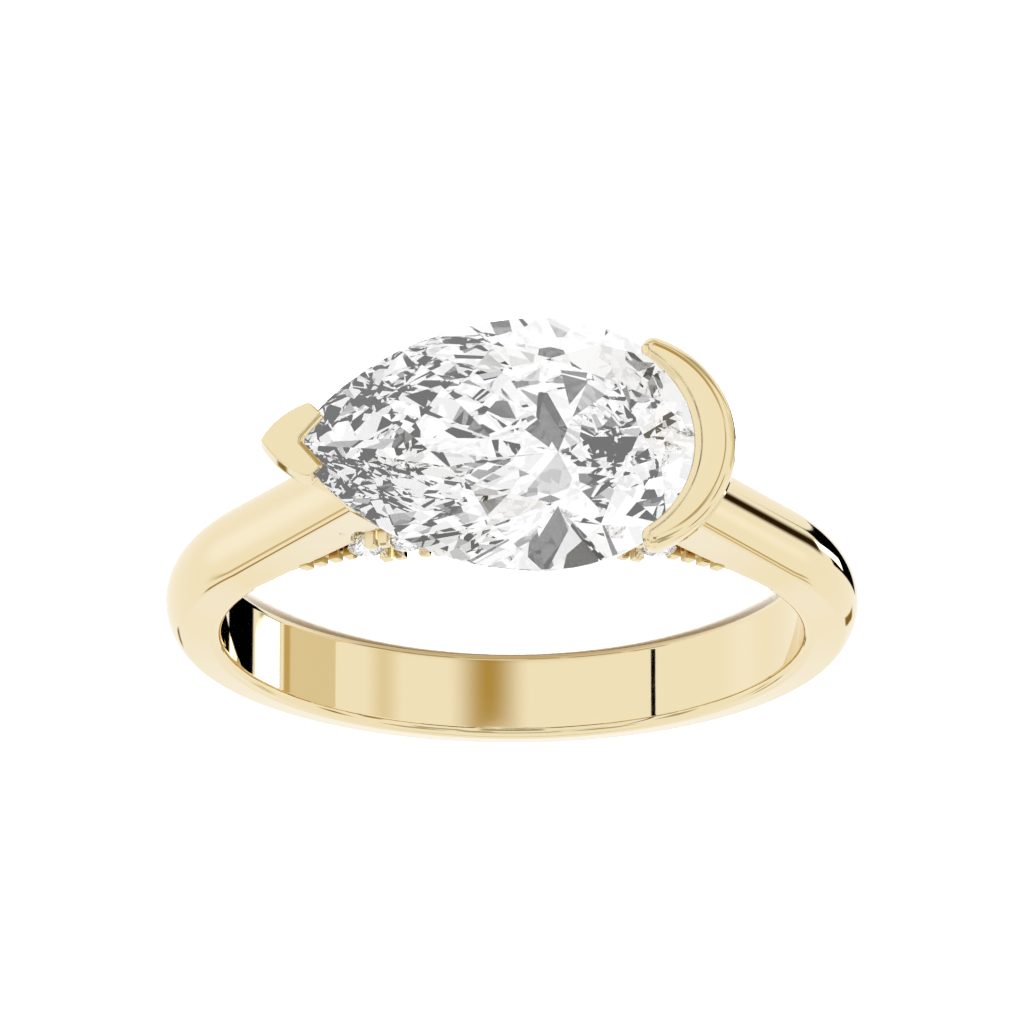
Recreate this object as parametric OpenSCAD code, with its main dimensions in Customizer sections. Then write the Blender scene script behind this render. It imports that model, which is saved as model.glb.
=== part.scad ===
// East-west ring: a pear brilliant set sideways between a pointed cap and a crescent half bezel,
// on a domed shank with straight cathedral shoulders and a bridge of small stones.
// The ring is drawn about its finger hole: +X across the finger, +Y towards the head, +Z along the
// finger. The last step lays it on its side, as it rests by itself on a table.

/* [Shank] */
// Inside diameter of the finger hole
finger_d = 17.0; // [16.6:0.1:17.2]
// Width of the shank at the finger hole
shank_w = 2.6; // [2.4:0.1:2.8]
// Width of the shank at the crease where its dome starts
crease_w = 2.0; // [1.9:0.05:2.1]
// Radius of the crease's circle
crease_r = 9.72; // [9.7:0.02:9.8]
// Drop of that circle's centre below the centre of the finger hole
palm_drop = 0.43; // [0.3:0.01:0.45]
// Height of the dome above the crease
dome_h = 0.43; // [0.35:0.01:0.5]
// Break of the two edges of the finger hole
edge_r = 0.28; // [0.15:0.01:0.35]

/* [Shoulders] */
// Slope of a shoulder's outer crease above the horizontal
shoulder_slope = 57; // [55:0.5:59]
// Slope of a shoulder's underside above the horizontal
under_slope = 53.6; // [52:0.2:55]
// Height of a shoulder's top above the centre of the finger hole
shoulder_top = 10.3; // [10.1:0.1:10.5]

/* [Pear stone] */
// Height of the girdle above the centre of the finger hole
girdle_h = 13.0; // [12.9:0.05:13.2]
// Length of the stone from its widest line to its point
point_l = 7.04; // [6.9:0.02:7.1]
// Length of the stone from its widest line to its round end
round_l = 4.56; // [4.5:0.02:4.62]
// Width of the stone
stone_w = 7.56; // [7.4:0.02:7.7]
// Place of the widest line across the finger
widest_x = 0.79; // [0.7:0.01:0.9]
// Place of the culet and the table's centre across the finger
culet_x = 1.3; // [1.2:0.05:1.4]
// Height of the table above the girdle
crown_h = 1.1; // [1:0.05:1.2]
// Depth of the culet below the girdle
pavilion_h = 3.3; // [3.2:0.05:3.35]
// Size of the table as a share of the girdle
table_share = 0.56; // [0.5:0.01:0.62]

/* [Setting] */
// Height of the setting's flat top above the girdle
rim_up = 0.4; // [0.35:0.05:0.5]
// Depth of the setting's rim below the girdle
rim_down = 0.3; // [0.25:0.05:0.4]
// Overhang of the cap past the stone's point
cap_overhang = 0.8; // [0.7:0.05:0.9]
// Width of each arm of the cap
cap_arm_w = 0.78; // [0.7:0.02:0.85]
// Radius of the crescent's outer edge
crescent_r = 3.345; // [3.3:0.005:3.4]
// Play all round each stone in its seat
play = 0.03; // [0.02:0.01:0.04]

/* [Bridge] */
// Outer radius of the bridge under the stone
bridge_r = 10.15; // [10.05:0.05:10.15]
// Diameter of each small stone
small_d = 1.08; // [1:0.02:1.1]
// Small stones on each face of the bridge
small_n = 8; // [4:2:8]
// Turn from one small stone to the next
small_pitch = 7.4; // [7.3:0.05:7.5]
// Side of each square prong
prong_w = 0.34; // [0.32:0.02:0.38]

/* [Hidden] */
$fn = 96;
STONE_NAMES = [for (face = ["front", "back"], i = [1:small_n]) str(face, "_stone_", i)];

half_w = shank_w / 2;
bore_r = finger_d / 2;
rim_r = bore_r + edge_r + 0.05;
half_crease = crease_w / 2;
dome_arc_r = (half_crease * half_crease + dome_h * dome_h) / (2 * dome_h);
dome_turn = asin(half_crease / dome_arc_r);
dome_steps = 10;
inset = 0.03;

// The shank's crease is one circle, and each shoulder runs straight on from it
shoulder_turn = 90 - shoulder_slope;
shoulder_x = crease_r * cos(shoulder_turn);
shoulder_y = crease_r * sin(shoulder_turn) - palm_drop;
shoulder_l = (shoulder_top - shoulder_y) / sin(shoulder_slope);
shoulder_end_x = shoulder_x - shoulder_l * cos(shoulder_slope);
path_step = (90 + shoulder_turn) / 30;
under_turn = 90 - under_slope;
under_gap = 0.03;

// The pear's girdle: half an ellipse at the round end, and two long arcs to the point
half_stone = stone_w / 2;
long_arc_r = (point_l * point_l + half_stone * half_stone) / (2 * half_stone);
point_x = widest_x - point_l;
round_x = widest_x + round_l;
point_turn = 180 - asin((long_arc_r - half_stone) / long_arc_r);
girdle_half = 0.04;
table_h = girdle_h + crown_h;
culet_h = girdle_h - pavilion_h;
star_share = 0.7;
lower_share = 0.24;
// Directions in which the girdle's flats face on one half, from the round end to the point
FLATS = [11.25, 33.75, 56.25, 78.75, 97, 111, 125, 139.5];
// Directions of the main facets, counted round from the round end
MAINS = [0, 45, 90, 118, 180, 242, 270, 315];

// The setting
rim_top = girdle_h + rim_up;
rim_low = girdle_h - rim_down;
cap_tip_x = point_x - cap_overhang;
cap_arc_r = 2.52;
cap_corner = [1.36, 1.13];
crescent_x = 2.95;
crescent_in_x = 2.07;
crescent_in_r = 3.05;
crescent_end = [3.99, 2.8];
crescent_end_r = 0.34;
post_in_x = 3.6;
wall_t = 0.8;

// The bridge
bridge_half = 1.22;
slot_half = 0.5;
slot_turn = 24;
bridge_turn = 29;
small_r = (bore_r + bridge_r) / 2 + 0.13;
small_girdle_z = 1.48;
prong_top_z = 1.75;
pair_half = 0.18;
seat_half = 0.06;
PRONG_RADII = [bore_r + 0.41, bridge_r - 0.1];
POST_TURNS = [31.7, 35, 38.6, 42];
post_r = bore_r + 0.26;
post_top_z = 1.42;

// How the ring lies: on the girdle's widest point and the edge of its side at the palm
rest_tilt = atan((half_stone - half_w) / (girdle_h + rim_r));
rest_h = half_w * cos(rest_tilt) + rim_r * sin(rest_tilt);
head_reach = table_h * cos(rest_tilt) + table_share * half_stone * sin(rest_tilt);
palm_reach = (crease_r + palm_drop + dome_h - dome_arc_r) * cos(rest_tilt) + dome_arc_r;
rest_y = (head_reach - palm_reach) / 2;

// Point of the pear's girdle whose outward direction is a, from 0 at the round end to 180
function ellipse_reach(a) = sqrt(pow(round_l * cos(a), 2) + pow(half_stone * sin(a), 2));
function girdle_half_point(a) =
    a <= 90 ? [widest_x + pow(round_l, 2) * cos(a) / ellipse_reach(a), pow(half_stone, 2) * sin(a) / ellipse_reach(a)]
    : a < point_turn ? [widest_x + long_arc_r * cos(a), half_stone - long_arc_r + long_arc_r * sin(a)]
    : [point_x, 0];
function girdle_point(a) =
    let (p = girdle_half_point(a <= 180 ? a : 360 - a)) a <= 180 ? p : [p[0], -p[1]];

// Point where two lines cross, each given by its outward direction and a point on it
function crossing(a, p, b, q) =
    let (c = cos(a) * p[0] + sin(a) * p[1], d = cos(b) * q[0] + sin(b) * q[1], k = sin(b - a))
    [(c * sin(b) - d * sin(a)) / k, (d * cos(a) - c * cos(b)) / k];

// Corners where neighbouring flats of a girdle meet, from the flats' directions and touching points
function corners(turns, touches) =
    let (n = len(turns))
    [for (i = [0:n - 1]) crossing(turns[(i + n - 1) % n], touches[(i + n - 1) % n], turns[i], touches[i])];

function lift(p, h) = [p[0], p[1], h];
function toward(from, to, share) = from + share * (to - from);

// Corners of a brilliant cut: table, stars, girdle and pavilion. Every main facet lies in the plane
// through a girdle corner, square to its direction, and a common peak above or the culet below.
function brilliant(ring, mains, axis_x, up, down, edge, share) =
    let (
        peak = lift([axis_x, 0], (up - share * edge) / (1 - share)),
        culet = [axis_x, 0, -down],
        meets = [for (i = [0:7]) crossing(mains[i], ring[2 * i], mains[(i + 1) % 8], ring[(2 * i + 2) % 16])]
    )
    concat(
        [for (i = [0:7]) toward(peak, lift(ring[2 * i], edge), share)],
        [for (p = meets) toward(peak, lift(p, edge), star_share)],
        [for (p = ring) lift(p, edge)],
        [for (p = ring) lift(p, -edge)],
        [for (p = meets) toward(culet, lift(p, -edge), lower_share)],
        [culet]
    );

module solid_of(points) {
    hull() polyhedron(points = points, faces = [[for (i = [0:len(points) - 1]) i]]);
}

// Turns a shape drawn in plan, with its height along +Z, so that its height runs towards the head
module stand_up() {
    rotate([-90, 0, 0]) children();
}

// Outline of the shank's section, measured outwards from the crease and along the finger: upright
// at the finger hole, leaning in to the crease, and domed outside
function d_section(foot, rim) = concat(
    [[-rim, half_w], [-foot, half_w], [-foot, -half_w], [-rim, -half_w]],
    [for (i = [0:dome_steps]) let (a = dome_turn * (2 * i / dome_steps - 1))
        [dome_h - dome_arc_r + dome_arc_r * cos(a), dome_arc_r * sin(a)]]
);

// Stations along the right half of the crease, from the palm up: [x, y, outward direction, depth of
// the section's foot, depth of the edge where its sides start to lean]
function half_path() = concat(
    [for (i = [0:29]) let (a = path_step * i - 90, rim = crease_r - palm_drop * sin(a) - rim_r)
        [crease_r * cos(a), crease_r * sin(a) - palm_drop, a, rim + 0.7, rim]],
    [for (p = [[shoulder_x, shoulder_y], [shoulder_end_x, shoulder_top]])
        [p[0], p[1], shoulder_turn, under_depth(p, bore_r + under_gap), under_depth(p, rim_r)]]
);

// Depth from a shoulder's crease to a plain underside, which passes the finger hole's axis at d
function under_depth(p, d) =
    (p[0] * cos(under_turn) + p[1] * sin(under_turn) - d) / cos(under_turn - shoulder_turn);

// The whole path, from the left shoulder's end round the palm to the right one's
function shank_path() =
    let (half = half_path(), n = len(half))
    concat([for (i = [n - 1:-1:1]) let (s = half[i]) [-s[0], s[1], 180 - s[2], s[3], s[4]]], half);

// Shank and shoulders: the section carried along the path
module shank() {
    path = shank_path();
    n = len(path);
    m = len(d_section(2, 1));
    points = [for (s = path, q = d_section(s[3], s[4])) [s[0] + q[0] * cos(s[2]), s[1] + q[0] * sin(s[2]), q[1]]];
    walls = [for (i = [0:n - 2], j = [0:m - 1])
        [i * m + j, i * m + (j + 1) % m, (i + 1) * m + (j + 1) % m, (i + 1) * m + j]];
    polyhedron(points = points, faces = concat(walls,
        [[for (j = [m - 1:-1:0]) j], [for (j = [0:m - 1]) (n - 1) * m + j]]));
}

// The finger hole, with its two edges broken
module finger_hole() {
    cylinder(h = 2 * shank_w, r = bore_r, center = true);
    for (side = [0, 1]) mirror([0, 0, side]) translate([0, 0, half_w - edge_r])
        cylinder(h = edge_r + inset, r1 = bore_r, r2 = bore_r + edge_r + inset);
}

// Plan of the pointed cap: two arcs meet at the tip
module cap_plan() {
    mid = [cap_tip_x + cap_corner[0] / 2, cap_corner[1] / 2];
    chord = norm(cap_corner);
    drop = sqrt(cap_arc_r * cap_arc_r - chord * chord / 4);
    centre = mid + drop / chord * [cap_corner[1], -cap_corner[0]];
    intersection() {
        translate(centre) circle(cap_arc_r);
        translate([centre[0], -centre[1]]) circle(cap_arc_r);
        translate([cap_tip_x, -cap_corner[1]]) square([cap_corner[0] + cap_arm_w / 2, 2 * cap_corner[1]]);
    }
}

// The pointed cap's top: a chevron that folds over the stone's point
module cap_rim() {
    notch_x = cap_tip_x + cap_arm_w * sqrt(2);
    corner_x = cap_tip_x + cap_corner[0] + cap_corner[1];
    stand_up() translate([0, 0, rim_low]) linear_extrude(rim_top - rim_low) difference() {
        cap_plan();
        translate([notch_x, 0]) rotate(-45) square(2);
        for (side = [-1, 1]) translate([corner_x, 0]) rotate(side * 45)
            translate([0, side > 0 ? 0 : -2]) square([2, 2]);
    }
}

// Post that carries the cap down to the left shoulder
module cap_post() {
    foot_h = shoulder_top - 0.3;
    hull() {
        stand_up() translate([0, 0, rim_low - 0.1]) linear_extrude(0.2)
            offset(delta = -inset) cap_plan($fn = 32);
        translate([-shoulder_end_x - 0.1, foot_h, inset - half_crease])
            cube([0.5, 0.1, crease_w - 2 * inset]);
        translate([-post_in_x - 0.4, foot_h, inset - half_w]) cube([0.4, 0.1, shank_w - 2 * inset]);
    }
}

// Plan of the crescent: a round outer edge, a flatter inner edge and rounded ends
module crescent_plan() {
    turn = atan2(crescent_end[1], crescent_end[0] - crescent_x);
    difference() {
        translate([crescent_x, 0]) circle(crescent_r);
        translate([crescent_in_x, 0]) circle(crescent_in_r);
        for (side = [-1, 1]) translate([crescent_x, 0]) rotate(side * turn)
            translate([-5, side > 0 ? 0 : -5]) square([10, 5]);
        translate([crescent_x - 6, -5]) square([6, 10]);
    }
    for (side = [-1, 1]) translate([crescent_end[0], side * crescent_end[1]]) circle(crescent_end_r);
}

module crescent_rim() {
    stand_up() translate([0, 0, rim_low]) linear_extrude(rim_top - rim_low) crescent_plan();
}

// Plan of the ground that the crescent's basket covers, drawn in by a wall's thickness
module basket_plan(wall, from_x) {
    intersection() {
        translate([crescent_x, 0]) circle(crescent_r - 0.1 - wall, $fn = 32);
        translate([from_x, -crescent_r]) square([crescent_r, 2 * crescent_r]);
    }
}

// Basket under the crescent: a block that draws in to the right shoulder
module basket() {
    hull() {
        stand_up() translate([0, 0, rim_low - 0.1]) linear_extrude(0.2) basket_plan(0, crescent_end[0]);
        translate([shoulder_end_x - 0.4, shoulder_top - 0.3, inset - half_crease])
            cube([0.5, 0.1, crease_w - 2 * inset]);
        translate([post_in_x, shoulder_top - 0.3, inset - half_w]) cube([0.4, 0.1, shank_w - 2 * inset]);
    }
}

// Hollow of the basket, open towards the stone
module basket_hollow() {
    hull() {
        stand_up() translate([0, 0, rim_low]) linear_extrude(0.15) basket_plan(wall_t, crescent_end[0] - 0.5);
        translate([post_in_x - 0.5, shoulder_top + 0.4, -0.4]) cube([0.6, 0.1, 0.8]);
    }
}

// Part of a ring about the finger hole, to either side of the top
module band(turn, from_r, to_r, half) {
    rotate([0, 0, 90 - turn]) rotate_extrude(angle = 2 * turn)
        translate([from_r, -half]) square([to_r - from_r, 2 * half]);
}

// Bridge over the finger between the shoulders, slotted for the culet
module bridge() {
    difference() {
        union() {
            band(bridge_turn, bore_r + 0.6, bridge_r, bridge_half);
            band(bridge_turn + 6, bore_r + 0.2, rim_r + 0.5, bridge_half - inset);
            band(bridge_turn + 26, bore_r - 0.3, rim_r, bridge_half - 2 * inset);
        }
        band(slot_turn, bore_r - 1, bridge_r + 1, slot_half);
    }
}

// Square bar that stands out of a bridge face at a turn from the top
module prong(turn, r, top_z) {
    rotate([0, 0, turn]) translate([-prong_w / 2, r - prong_w / 2, bridge_half - prong_w])
        cube([prong_w, prong_w, top_z - bridge_half + prong_w]);
}

// All prongs and posts of one face
module face_prongs() {
    for (i = [1:small_n - 1], r = PRONG_RADII, side = [-1, 1])
        prong((i - small_n / 2) * small_pitch + side * asin(pair_half / r), r, prong_top_z);
    for (turn = POST_TURNS, side = [-1, 1]) prong(side * turn, post_r, post_top_z);
}

// Places its child at a small stone's seat: +Z outwards, its origin at the girdle
module at_small_stone(i) {
    rotate([0, 0, ((small_n + 1) / 2 - i) * small_pitch]) translate([0, small_r, small_girdle_z]) children();
}

// Seat of a small stone: a cone under a round pocket that draws in over the girdle
module small_seat() {
    r = small_d / 2 + play;
    rotate_extrude($fn = 48)
        polygon([[0, -r], [r, -seat_half], [r, seat_half], [r * 0.6, seat_half + r * 0.7], [0, seat_half + r * 0.7]]);
}

function small_ring() =
    let (turns = [for (i = [0:15]) 22.5 * i + 11.25])
    corners(turns, [for (a = turns) small_d / 2 * [cos(a), sin(a)]]);

// A small round brilliant, its girdle at height 0
module small_stone() {
    color("white") solid_of(brilliant(small_ring(), [for (i = [0:7]) 45 * i], 0,
        small_d * 0.16, small_d * 0.43, 0.015, 0.56));
}

function pear_turns() = concat(FLATS, [for (i = [0:7]) 360 - FLATS[7 - i]]);

// The pear brilliant in plan, grown all round by a play
module pear_block(grow) {
    turns = pear_turns();
    ring = corners(turns, [for (a = turns) girdle_point(a) + grow * [cos(a), sin(a)]]);
    solid_of(brilliant(ring, MAINS, culet_x, crown_h + grow, pavilion_h + grow, girdle_half + grow / 2, table_share));
}

module pear_stone() color("white") stand_up() translate([0, 0, girdle_h]) intersection() {
    pear_block(0);
    linear_extrude(2 * stone_w, center = true)
        polygon([for (i = [0:71]) girdle_point(i * 5)]);
}

module gold_ring() color("gold") difference() {
    union() {
        shank();
        bridge();
        face_prongs();
        mirror([0, 0, 1]) face_prongs();
        cap_rim();
        cap_post();
        crescent_rim();
        basket();
    }
    finger_hole();
    basket_hollow();
    stand_up() translate([0, 0, girdle_h]) pear_block(play);
    for (i = [1:small_n]) {
        at_small_stone(i) small_seat();
        mirror([0, 0, 1]) at_small_stone(i) small_seat();
    }
}

// Lays the ring on its side with its head towards -Y
module rest() {
    translate([0, rest_y, rest_h]) rotate([-rest_tilt, 0, 0]) rotate([0, 0, 180]) children();
}

rest() gold_ring();
rest() pear_stone();
for (i = [1:small_n]) {
    rest() at_small_stone(i) small_stone();
    rest() mirror([0, 0, 1]) at_small_stone(i) small_stone();
}
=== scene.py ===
"""East-west pear ring, lying on its side in soft studio light.

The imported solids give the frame. The gold is drawn again here with rounded edges, from the same
sizes as the solids, and the stones keep their own cut facets. Shapes are worked out in the ring's
own axes, in millimetres: X across the finger, H towards the stone, F along the finger out of the
front face, all from the finger hole's centre. One function lays them on the table.
"""

import logging
from dataclasses import dataclass, field
from enum import Enum

import bpy
import numpy as np
from mathutils import Matrix

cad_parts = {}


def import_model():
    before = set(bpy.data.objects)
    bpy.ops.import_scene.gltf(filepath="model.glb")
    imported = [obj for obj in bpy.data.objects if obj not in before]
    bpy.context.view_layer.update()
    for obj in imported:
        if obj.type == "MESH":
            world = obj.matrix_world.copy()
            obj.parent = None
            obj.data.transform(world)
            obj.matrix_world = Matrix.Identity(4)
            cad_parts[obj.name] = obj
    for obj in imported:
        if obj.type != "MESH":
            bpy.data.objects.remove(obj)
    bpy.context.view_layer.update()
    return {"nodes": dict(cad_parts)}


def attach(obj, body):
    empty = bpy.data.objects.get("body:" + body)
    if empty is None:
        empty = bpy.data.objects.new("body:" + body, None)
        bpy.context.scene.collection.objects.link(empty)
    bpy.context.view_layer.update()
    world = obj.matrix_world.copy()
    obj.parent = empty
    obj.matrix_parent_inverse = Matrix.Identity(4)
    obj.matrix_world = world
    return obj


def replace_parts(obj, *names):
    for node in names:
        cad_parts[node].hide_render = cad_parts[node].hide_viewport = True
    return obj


LOG = logging.getLogger("ring")
MM = 0.001
FLAT_GUARD = 0.015  # mm of flat that a rounded corner keeps beside its arc
WHITE = "#FFFFFF"
SMOOTH_ANGLE = 38.0  # degrees between faces up to which gold is shaded as one surface

Array = np.ndarray
SQUARE = np.array([[-1.0, -1.0], [1.0, -1.0], [1.0, 1.0], [-1.0, 1.0]])


class Side(Enum):
    """The two faces of the ring, by the sign of F."""

    FRONT = 1
    BACK = -1


class Slot(Enum):
    """Material slots of the record."""

    GOLD = "gold"
    DIAMOND = "diamond"


# ---------------------------------------------------------------- colours and materials


def linear(code: str) -> tuple[float, float, float, float]:
    """Turn an sRGB hex colour into linear light.

    Args:
        code: Colour as "#rrggbb".

    Returns:
        Red, green and blue in linear light, and an alpha of 1.
    """
    srgb = np.array([int(code[i : i + 2], 16) for i in (1, 3, 5)]) / 255.0
    light = np.where(srgb <= 0.04045, srgb / 12.92, ((srgb + 0.055) / 1.055) ** 2.4)
    return (float(light[0]), float(light[1]), float(light[2]), 1.0)


def add_node(
    tree: bpy.types.NodeTree, kind: str, settings: dict[str, object], links: dict[str, object]
) -> bpy.types.Node:
    """Add one shader node with its settings and its links.

    Args:
        tree: Node tree the node goes into.
        kind: Blender's name of the node type.
        settings: Input sockets by name with their constant values.
        links: Input sockets by name with the output sockets that feed them.

    Returns:
        The new node.
    """
    node = tree.nodes.new(kind)
    for name, value in settings.items():
        node.inputs[name].default_value = value
    for name, source in links.items():
        tree.links.new(source, node.inputs[name])
    return node


def blend_colours(
    tree: bpy.types.NodeTree, share: bpy.types.NodeSocket, first: str, second: str
) -> bpy.types.NodeSocket:
    """Blend two colours by a share that other nodes work out.

    Args:
        tree: Node tree the blend goes into.
        share: Output socket whose value 0 gives the first colour and 1 the second.
        first: First colour as "#rrggbb".
        second: Second colour as "#rrggbb".

    Returns:
        The output socket of the blended colour.
    """
    blend = add_node(tree, "ShaderNodeMix", {}, {})
    blend.data_type = "RGBA"
    colours = [socket for socket in blend.inputs if socket.type == "RGBA"]
    colours[0].default_value, colours[1].default_value = linear(first), linear(second)
    tree.links.new(share, blend.inputs[0])
    return next(socket for socket in blend.outputs if socket.type == "RGBA")


def empty_material(name: str) -> bpy.types.Material:
    """Make a material with an empty node tree."""
    made = bpy.data.materials.new(name)
    made.use_nodes = True
    made.node_tree.nodes.clear()
    return made


@dataclass(frozen=True)
class Finish:
    """A surface finish: what the real material is, and how light meets it.

    Roughness runs between two values in soft patches of polish, and a finer grain lifts the
    surface. Both scales are repeats per metre, so 1000 is a pattern of 1 mm. In a narrow recess,
    the base colour is painted towards the recess shade colour: painted shade that stands in for
    light bouncing between the walls.
    """

    name: str
    colour: str
    metallic: float
    roughness: tuple[float, float]
    patch_scale: float
    grain_scale: float
    grain: float
    ior: float = 1.5
    transmission: float = 0.0
    recess_shade: str | None = None
    recess: float = 0.7 * MM
    relief: float = 0.01 * MM

    def material(self) -> bpy.types.Material:
        """Build the finish as a material of its own."""
        made = empty_material(self.name)
        tree = made.node_tree
        place = {"Vector": add_node(tree, "ShaderNodeTexCoord", {}, {}).outputs["Object"]}
        low, high = self.roughness
        patches = add_node(
            tree, "ShaderNodeTexNoise", {"Scale": self.patch_scale, "Detail": 3.0}, place
        )
        polish = add_node(
            tree,
            "ShaderNodeMapRange",
            {"From Min": 0.35, "From Max": 0.65, "To Min": low, "To Max": high},
            {"Value": patches.outputs[0]},
        )
        grain = add_node(
            tree, "ShaderNodeTexNoise", {"Scale": self.grain_scale, "Detail": 2.0}, place
        )
        relief = add_node(
            tree,
            "ShaderNodeBump",
            {"Strength": self.grain, "Distance": self.relief},
            {"Height": grain.outputs[0]},
        )
        settings = {
            "Metallic": self.metallic,
            "IOR": self.ior,
            "Transmission Weight": self.transmission,
        }
        links = {"Roughness": polish.outputs["Result"], "Normal": relief.outputs["Normal"]}
        if self.recess_shade is None:
            settings["Base Color"] = linear(self.colour)
        else:
            links["Base Color"] = self.painted_recess_shade(tree)
        shader = add_node(tree, "ShaderNodeBsdfPrincipled", settings, links)
        add_node(tree, "ShaderNodeOutputMaterial", {}, {"Surface": shader.outputs["BSDF"]})
        return made

    def painted_recess_shade(self, tree: bpy.types.NodeTree) -> bpy.types.NodeSocket:
        """Painted shade: a colour that darkens in narrow recesses, from how open the surface is.

        Args:
            tree: Node tree of the finish.

        Returns:
            The output socket of the mixed colour.
        """
        # Ambient occlusion picks out the recesses that get the painted shade
        openness = add_node(tree, "ShaderNodeAmbientOcclusion", {"Distance": self.recess}, {})
        ramp = add_node(
            tree,
            "ShaderNodeMapRange",
            {"From Min": 0.25, "From Max": 0.85},
            {"Value": openness.outputs["AO"]},
        )
        return blend_colours(tree, ramp.outputs["Result"], self.recess_shade, self.colour)


# 14k yellow gold, cast and polished to a mirror: one reflection of a white studio is pale straw.
# In narrow recesses the base colour is painted darker, to amber, as painted shade for the second
# and third reflections there. The buff leaves patches of about 1.1 mm and marks of about 0.4 mm,
# drawn coarser than the real ones so that they can show.
POLISHED_GOLD = Finish(
    name="polished 14k yellow gold",
    colour="#EDDDB5",
    metallic=1.0,
    roughness=(0.02, 0.045),
    patch_scale=900.0,
    grain_scale=2600.0,
    grain=0.02,
    # Painted shade: amber base colour in narrow recesses
    recess_shade="#B08A38",
)
# Diamond, cut and polished: clear, with a high index that throws most light back through the crown.
# Its polish is almost perfect, with hardly any roughness or relief.
CUT_DIAMOND = Finish(
    name="cut and polished diamond",
    colour=WHITE,
    metallic=0.0,
    roughness=(0.0, 0.004),
    patch_scale=700.0,
    grain_scale=3000.0,
    grain=0.0005,
    ior=2.417,
    transmission=1.0,
)
# Matt white photographic paper under the ring: soft patches of 17 mm and fibres of about 1.1 mm.
WHITE_PAPER = Finish(
    name="matt white studio paper",
    colour="#FAFAFA",
    metallic=0.0,
    roughness=(0.85, 0.95),
    patch_scale=60.0,
    grain_scale=900.0,
    grain=0.05,
)


# ---------------------------------------------------------------- shapes


def unit(vectors: Array) -> Array:
    """Scale vectors to length one along the last axis."""
    return vectors / np.maximum(np.linalg.norm(vectors, axis=-1, keepdims=True), 1e-12)


def fillet(before: Array, corner: Array, after: Array, radius: float, steps: int = 5) -> Array:
    """Round a corner with a circular arc that touches both of its edges.

    The arc's ends lie radius / tan(half the corner's angle) along the edges, and its points turn
    evenly from one end's spoke to the other's. One more point on each edge keeps the flat beside
    the arc flat when it is shaded.

    Args:
        before: Points before the corners, shape (..., 2).
        corner: The corners, shape (..., 2).
        after: Points after the corners, shape (..., 2).
        radius: Radius of the arc in mm.
        steps: Parts of the arc.

    Returns:
        Points of shape (..., steps + 3, 2).
    """
    to_before, to_after = unit(before - corner), unit(after - corner)
    cosine = np.clip((to_before * to_after).sum(-1, keepdims=True), -0.9999, 0.9999)
    half = np.arccos(cosine) / 2
    reach = radius / np.tan(half)
    centre = corner + unit(to_before + to_after) * radius / np.sin(half)
    first = corner + to_before * reach - centre
    last = corner + to_after * reach - centre
    sweep = np.pi - 2 * half
    share = np.linspace(0, 1, steps + 1)[:, None]
    arc = (
        np.sin((1 - share) * sweep[..., None, :]) * first[..., None, :]
        + np.sin(share * sweep[..., None, :]) * last[..., None, :]
    ) / np.sin(sweep[..., None, :])
    guard = reach + FLAT_GUARD
    return np.concatenate(
        [
            (corner + to_before * guard)[..., None, :],
            centre[..., None, :] + arc,
            (corner + to_after * guard)[..., None, :],
        ],
        axis=-2,
    )


def round_polygon(points: Array, radii: list[float], steps: int = 5) -> Array:
    """Round every corner of a closed polygon that has a radius.

    Args:
        points: Corners in order, shape (..., n, 2).
        radii: Radius of each corner in mm, 0 for one that stays sharp.
        steps: Parts of each arc.

    Returns:
        The rounded outline, shape (..., m, 2).
    """
    count = points.shape[-2]
    parts = []
    for i, radius in enumerate(radii):
        here = points[..., i, :]
        if radius > 0:
            before, after = points[..., (i - 1) % count, :], points[..., (i + 1) % count, :]
            parts.append(fillet(before, here, after, radius, steps))
        else:
            parts.append(here[..., None, :])
    return np.concatenate(parts, axis=-2)


def enclosed(points: Array, quads: Array, caps: list[Array]) -> float:
    """Volume inside a closed skin, positive where its faces point outwards.

    It is the sum of a . (b x c) / 6 over the triangles of all faces, from the skin's own middle.

    Args:
        points: Points of the skin, shape (n, 3).
        quads: Faces of four corners, shape (m, 4).
        caps: The two end faces, each a row of corners.

    Returns:
        The volume in cubic mm.
    """
    fans = [np.stack([np.full(len(cap) - 2, cap[0]), cap[1:-1], cap[2:]], -1) for cap in caps]
    triangles = np.concatenate([quads[:, [0, 1, 2]], quads[:, [0, 2, 3]], *fans])
    a, b, c = (points - points.mean(axis=0))[triangles.T]
    return float((a * np.cross(b, c)).sum()) / 6


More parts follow.
